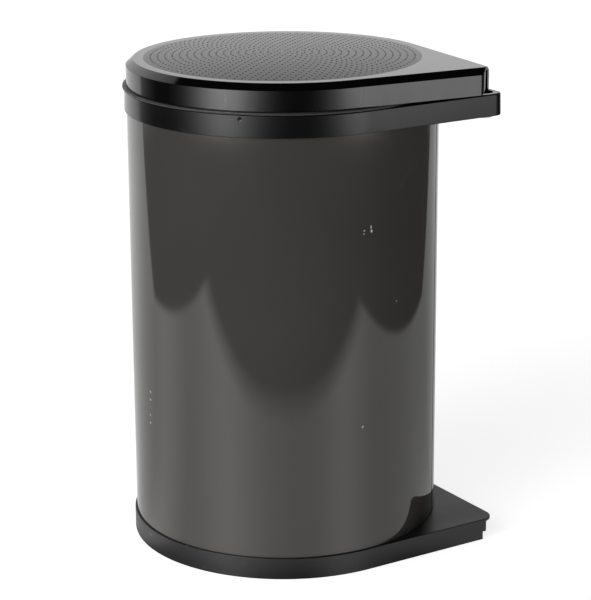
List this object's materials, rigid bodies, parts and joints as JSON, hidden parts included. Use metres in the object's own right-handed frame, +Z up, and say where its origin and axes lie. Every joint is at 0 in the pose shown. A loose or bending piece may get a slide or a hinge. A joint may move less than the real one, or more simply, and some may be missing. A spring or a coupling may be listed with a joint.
{
  "type": "cabinet bin",
  "caption": "Round kitchen bin that swings out of a cabinet about its square corner, with a steel body, a loose lid and a lift-out bucket with a bail.",
  "frame": {"origin": "on the floor plane, under the upright axis of the round body", "axes": "+Z up along the body's axis; the square corner with the pivots points to +X and -Y, so the cabinet's side wall is at +X and its door side at -Y"},
  "size_m": [0.2562, 0.264, 0.3997],
  "materials": {
    "anthracite_steel": "glossy stoved paint, dark warm grey",
    "black_moulding": "satin black moulding with fine handling marks",
    "lid_plastic": "polished black, satin textured panel",
    "bucket_plastic": "satin dark polypropylene",
    "grip_plastic": "satin black",
    "bush_plastic": "natural acetal",
    "bail_wire": "drawn zinc-plated wire",
    "zinc_steel": "zinc-plated"
  },
  "bodies": {
    "pivot": {"upper_pivot_bush": "bush_plastic", "lower_pivot_bush": "bush_plastic", "upper_bush_ring": "zinc_steel"},
    "bin": {"body_shell": "anthracite_steel", "base_tray": "black_moulding", "top_collar": "black_moulding", "collar_screws": "zinc_steel", "base_screws": "zinc_steel"},
    "bucket": {"inner_bucket": "bucket_plastic"},
    "lid": {"lid_shell": "lid_plastic", "lid_hinge_pin": "zinc_steel", "lid_pin_clips": "zinc_steel"},
    "bail": {"bucket_bail": "bail_wire"},
    "grip": {"bail_grip": "grip_plastic"}
  },
  "joints": [
    {"name": "swing_out", "type": "hinge", "parent": "pivot", "child": "bin", "pos_m": [0.1134, -0.1134, 0], "axis": [0, 0, 1], "range_deg": [0, 100]},
    {"name": "bucket_lift", "type": "slide", "parent": "bin", "child": "bucket", "axis": [0, 0, 1], "range_m": [0, 0.36]},
    {"name": "lid_lift", "type": "slide", "parent": "bucket", "child": "lid", "axis": [0, 0, 1], "range_m": [0, 0.2]},
    {"name": "bail_swing", "type": "hinge", "parent": "bucket", "child": "bail", "pos_m": [0, 0, 0.3782], "axis": [1, 0, 0], "range_deg": [0, 90]},
    {"name": "grip_turn", "type": "hinge", "parent": "bail", "child": "grip", "pos_m": [0, 0.098, 0.3782], "axis": [1, 0, 0], "continuous": true}
  ],
  "couplings": [
    {"joint": "bail_swing", "follows": "lid_lift", "rad_per_m": 7.85}
  ]
}
